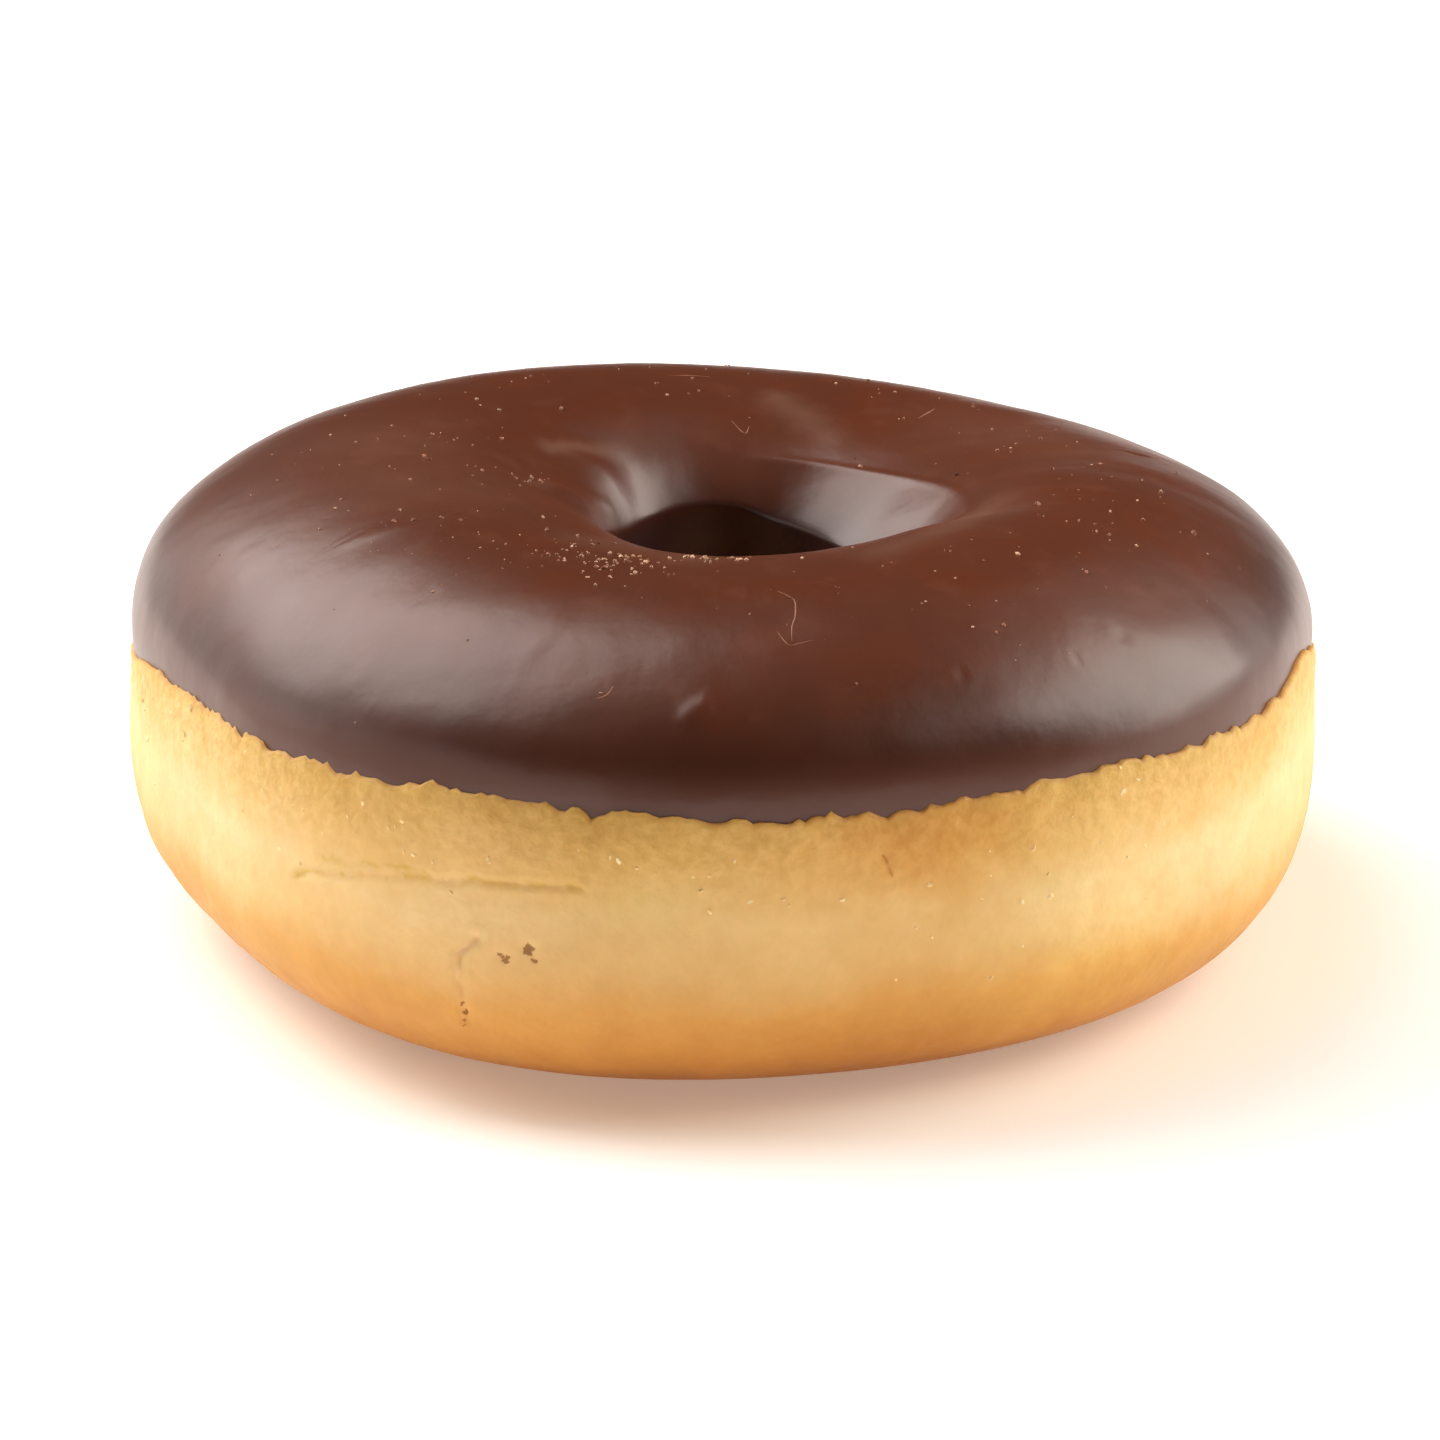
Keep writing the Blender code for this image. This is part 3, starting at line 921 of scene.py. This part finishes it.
def dough_material():
    """Fried crust: pale along the middle of the side and browner above and below it, with
    browner and paler patches, wrinkles, burnt pits and a crepe skin near the icing. Painted light
    pales the sides where the lamps fall; painted shade darkens the inside of the hole and, with a
    fat stain, the strip just under the icing's edge."""
    material, graph, shader, place = new_material("fried_dough")
    level = place.part("Z")
    drift = (graph.noise(place, 18, shift=31) - 0.5) * 7
    fine = (graph.noise(place, 3.5, 3, shift=17) - 0.5) * 2.4
    height = {"Fac": (level + drift + fine) / BAND_TOP}
    band = graph.add("ShaderNodeValToRGB", {"stops": CRUST_BAND}, height)
    side = graph.warp(side_of(graph, place), 2.5, 0.9)
    mottle = graph.noise(place, 2.4, 3, 0.55, shift=41)
    colour = band * graph.mix(mottle, (0.93, 0.9, 0.82), (1.06, 1.08, 1.12))
    # Browner and paler patches, and painted light on the left and right sides.
    for patch, half_width, patch_tint in PATCHES_AND_PAINTED_LIGHT:
        patch_or_light = bell((side - side_at(*patch)).length(), half_width)
        patch_or_light = patch_or_light * graph.noise(place, 3).ease(-0.1, 0.75)
        colour = graph.mix(patch_or_light, colour, colour * patch_tint)
    broken = graph.noise(side, 1.1, 1, shift=47).ease(0.42, 0.62)
    for points, _, half_width, tint in WRINKLES:
        mark = bell(side.stroke(side_at, points), half_width) * broken
        colour = graph.mix(mark, colour, colour * tint)
    frayed = graph.warp(side, 0.5, 1.2)
    for spot, _, half_width in PITS:
        burnt = bell((frayed - side_at(*spot)).length(), half_width).ease(0.3, 0.6)
        colour = graph.mix(burnt * 0.78, colour, (0.3, 0.1, 0.008))
    below = graph.add("ShaderNodeAttribute", {"attribute_name": "below_line"}, {}, "Fac")
    near_icing = below.ease(8, 1)
    crepe = graph.noise(place, 0.9, 3, 0.55, shift=43)
    folds = graph.mix(crepe.ease(0.34, 0.66), (0.93, 0.9, 0.8), (1.05, 1.08, 1.17))
    colour = colour * graph.mix(near_icing * 0.8 + 0.15, (1, 1, 1), folds)
    # A darker, pinker strip just under the icing's edge: partly fat soaked from the icing, partly painted
    # shade under its rim.
    colour = graph.mix(below.ease(0.55, 0.05) * 0.55, colour, colour * (0.84, 0.62, 0.62))
    # Painted shade: the dough darker inside the hole.
    inside = plan_of(graph, place).length().ease(16, 12.5) * level.ease(4, 12)
    colour = graph.mix(inside, colour, colour * (0.8, 0.64, 0.8))
    roughness = graph.noise(place, 2, shift=51) * 0.18 + 0.46
    grain = graph.noise(place, 0.6, shift=61) * 0.4 + graph.noise(place, 1.8)
    grain = grain + crepe * (near_icing * 2 + 0.3)
    soft = {"Subsurface Weight": 0.35, "Subsurface Radius": (1, 0.5, 0.2), "Subsurface Scale": 0.004}
    connect(graph, shader, colour, roughness, grain, 0.00008, soft | {"IOR": 1.4})
    return material


def icing_material():
    """Set chocolate: cloudy browns, pale smears that are partly painted sheen, painted shade that darkens it
    low on the side and near-black painted shade in the throat.
    """
    material, graph, shader, place = new_material("chocolate_icing")
    level = place.part("Z")
    cloud = graph.noise(place, 11, 3, 0.55, shift=71)
    warm = graph.noise(place, 6, shift=75).ease(0.42, 0.66)
    haze = graph.noise(place, 4, 3, 0.6, shift=77).ease(0.52, 0.74)
    colour = graph.mix(cloud, (0.074, 0.0165, 0.005), (0.09, 0.0215, 0.007))
    colour = graph.mix(warm * 0.7, colour, (0.092, 0.0185, 0.0035))
    colour = graph.mix(haze * 0.5, colour, (0.112, 0.032, 0.014))
    plan = plan_of(graph, place)
    wavy_plan = graph.warp(plan, 2.5, 2)
    # Pale smears, partly bloom and partly painted sheen for soft reflections of the lamps.
    for points, half_width, strength in SMEARS_AND_PAINTED_SHEEN:
        smear_or_sheen = bell(wavy_plan.stroke(spot_at, points), half_width) * (cloud * 1.2) * strength
        colour = graph.mix(smear_or_sheen, colour, (0.2, 0.105, 0.072))
    # Painted shade: darker below the crown, where less light falls on the side.
    colour = colour * graph.mix((level + cloud * 3).ease(29, 34), 0.6, 1)
    colour = graph.mix(level.ease(28, 25) * 0.8, colour, (0.098, 0.03, 0.015))
    warmer = place.part("X").ease(2, 26) * level.ease(30, 33)
    colour = colour * graph.mix(warmer, 1, 1.15)
    # Painted shade: near-black inside the throat of the hole.
    throat = plan.length().ease(14, 12) * level.ease(29.5, 27.5)
    colour = graph.mix(throat, colour, (0.04, 0.015, 0.013))
    roughness = graph.noise(place, 6, 3, shift=81) * 0.06 + 0.285
    skin = graph.noise(place, 1.2, shift=91)
    connect(graph, shader, colour, roughness, skin, 0.00002, {"IOR": 1.5})
    return material


def crumb_material(name, dark, pale, shine=0.5):
    """Sugar, crumbs or flour: each grain a little paler or darker."""
    material, graph, shader, place = new_material(name)
    tone = graph.noise(place, 0.8, 1, shift=23).ease(0.35, 0.65)
    colour = graph.mix(tone, dark, pale)
    grain = graph.noise(place, 0.2, 1)
    connect(graph, shader, colour, tone * 0.2 + 0.45, grain, 0.00003, {"Specular IOR Level": shine})
    return material


def table_material():
    """Pale table with a painted glow, which lightens and warms the shadow round the ring; there is no glow
    under the ring, and far away the glow and the table grow dimmer.
    """
    material, graph, shader, place = new_material("pale_table")
    grain = graph.noise(place, 40)
    reach = plan_of(graph, place).length()
    far = reach.ease(*TABLE_DIMS) * 0.75
    colour = graph.mix(grain, (0.85, 0.84, 0.81), (0.87, 0.86, 0.83)) * (1 - far)
    # Painted light: the table glows, warm near the ring and paler away, to lighten the shadow round it; none
    # under the ring.
    painted_glow = graph.mix(reach.ease(46, 56), *PAINTED_TABLE_GLOW)
    painted_glow = graph.mix(reach.ease(24, 30) * (1 - far), (0, 0, 0), painted_glow)
    lit = {"Emission Color": painted_glow, "Emission Strength": PAINTED_TABLE_GLOW_STRENGTH}
    connect(graph, shader, colour, grain * 0.1 + 0.8, grain, 0.00001, lit)
    return material


# -------- stage

def make_floor():
    """One flat square."""
    mesh = bpy.data.meshes.new("table")
    corners = [(x * TABLE_HALF, y * TABLE_HALF, -TABLE_DROP) for x, y in ((-1, -1), (1, -1), (1, 1), (-1, 1))]
    mesh.from_pydata(corners, [], [(0, 1, 2, 3)])
    mesh.materials.append(table_material())
    floor = placed("table", mesh)


def make_camera():
    """The photo's camera, in front of the ring and a little above it."""
    camera = placed("camera", bpy.data.cameras.new("camera"))
    camera.data.lens = CAMERA_LENS
    camera.data.sensor_width = SENSOR_WIDTH
    camera.data.clip_start = 0.01
    lift = math.radians(CAMERA_LIFT)
    ahead = Vector((0.0, math.cos(lift), -math.sin(lift)))
    camera.location = (Vector(CAMERA_TARGET) - ahead * CAMERA_DISTANCE) * MM
    camera.rotation_euler = ahead.to_track_quat("-Z", "Y").to_euler()
    bpy.context.scene.camera = camera


def make_light(
    name, bearing, lift, distance, width, height, brightness, gloss=True, fill=True, colour=LIGHT_COLOUR
):
    """A soft box that faces the ring. Its bearing is 0 on the camera's side and 90 on the right,
    and its distance and size are in metres. It may be left out of the reflections, or be a dim
    card that only shows in them."""
    data = bpy.data.lights.new(name, "AREA")
    data.shape = "RECTANGLE"
    data.size, data.size_y = width, height
    data.energy = brightness * math.pi * width * height
    data.color = colour
    light = placed(name, data)
    light.visible_glossy = gloss
    light.visible_diffuse = fill
    a, e = math.radians(bearing), math.radians(lift)
    away = Vector((math.sin(a) * math.cos(e), -math.cos(a) * math.cos(e), math.sin(e)))
    light.location = away * distance + Vector((0, 0, 0.02))
    light.rotation_euler = (-away).to_track_quat("-Z", "Y").to_euler()


def make_stage():
    """Table, camera, the two soft boxes with the cards and halos that shape their reflections,
    two soft fills and the dim light of the room."""
    make_floor()
    make_camera()
    make_light("left_box", -129, 49, 1, 0.69, 1, 5)
    make_light("left_low_card", -124, 8, 1, 1, 0.46, 1.4, fill=False)
    make_light("left_high_card", -84, 56, 1, 0.3, 0.36, 0.8, fill=False)
    make_light("right_box", 99, 30, 1, 0.76, 0.8, 5.7, colour=WARM_COLOUR)
    make_light("right_high_card", 89, 56, 1, 0.6, 0.24, 0.9, fill=False)
    make_light("right_low_card", 129, 17, 1, 0.34, 0.46, 0.8, fill=False)
    make_light("right_halo", 106, 33, 1.05, 1.5, 1.25, 0.6, fill=False)
    make_light("front_card", 0, 2, 1, 2.4, 0.16, 1.7)
    make_light("front_halo", 5, 16, 1.05, 1.6, 0.45, 0.16, fill=False)
    make_light("left_card", -62, 20, 1, 2.1, 0.72, 1.15, fill=False)
    make_light("right_card", 104, 4, 1, 1, 0.26, 1.6, fill=False)
    make_light("left_soft", -112, 35, 1.1, 0.8, 0.9, 4.4, gloss=False, colour=SOFT_COLOUR)
    make_light("right_soft", 125, 50, 1.1, 0.8, 0.7, 0.9, gloss=False, colour=SOFT_COLOUR)
    world = bpy.data.worlds.new("room")
    bpy.context.scene.world = world
    world.use_nodes = True
    background = world.node_tree.nodes["Background"]
    background.inputs["Color"].default_value = (*LIGHT_COLOUR, 1.0)
    background.inputs["Strength"].default_value = ROOM_STRENGTH
    view = bpy.context.scene.view_settings
    view.view_transform = "Standard"
    view.look = "None"


# -------- making

def main():
    """The stage, the two pieces of the ring and what lies on them."""
    make_stage()
    points = section_points()
    section = section_object(points)
    dough = formed("dough", dough_loop(), DOUGH_COLUMNS, dough_relief, dough_material(), points, section)
    icing = formed("icing", icing_loop(), ICING_COLUMNS, icing_relief, icing_material(), points, section)
    bpy.data.objects.remove(section, do_unlink=True)
    sugar = crumb_material("sugar_crumbs", (0.26, 0.115, 0.055), (0.66, 0.4, 0.25))
    flour = crumb_material("flour_flecks", (0.95, 0.69, 0.31), (0.98, 0.8, 0.45), 0.1)
    drips = crumb_material("chocolate_threads", (0.2, 0.062, 0.03), (0.34, 0.13, 0.07))
    threads = scattered("threads", thread_seeds(), icing, drips, thread_tree, {"Step": 0.2 * MM})
    loose = top_seeds("crumb_seeds", GRAINS, DRIFTS, CRUMB_SEED)
    crumbs = scattered("crumbs", loose, icing, sugar, scatter_tree, {"Flatness": 1.0})
    broken = top_seeds("chip_seeds", CHIPS, CHIP_DRIFTS, CHIP_SEED)
    chips = scattered("chips", broken, icing, drips, scatter_tree, {"Flatness": 0.8})
    flecks = scattered("flecks", side_seeds(), dough, flour, scatter_tree, {"Flatness": 0.6})
    for piece in (dough, icing, threads, crumbs, chips, flecks):
        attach(piece, "root")
    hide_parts("dough_ring")
    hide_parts("chocolate_icing")


main()
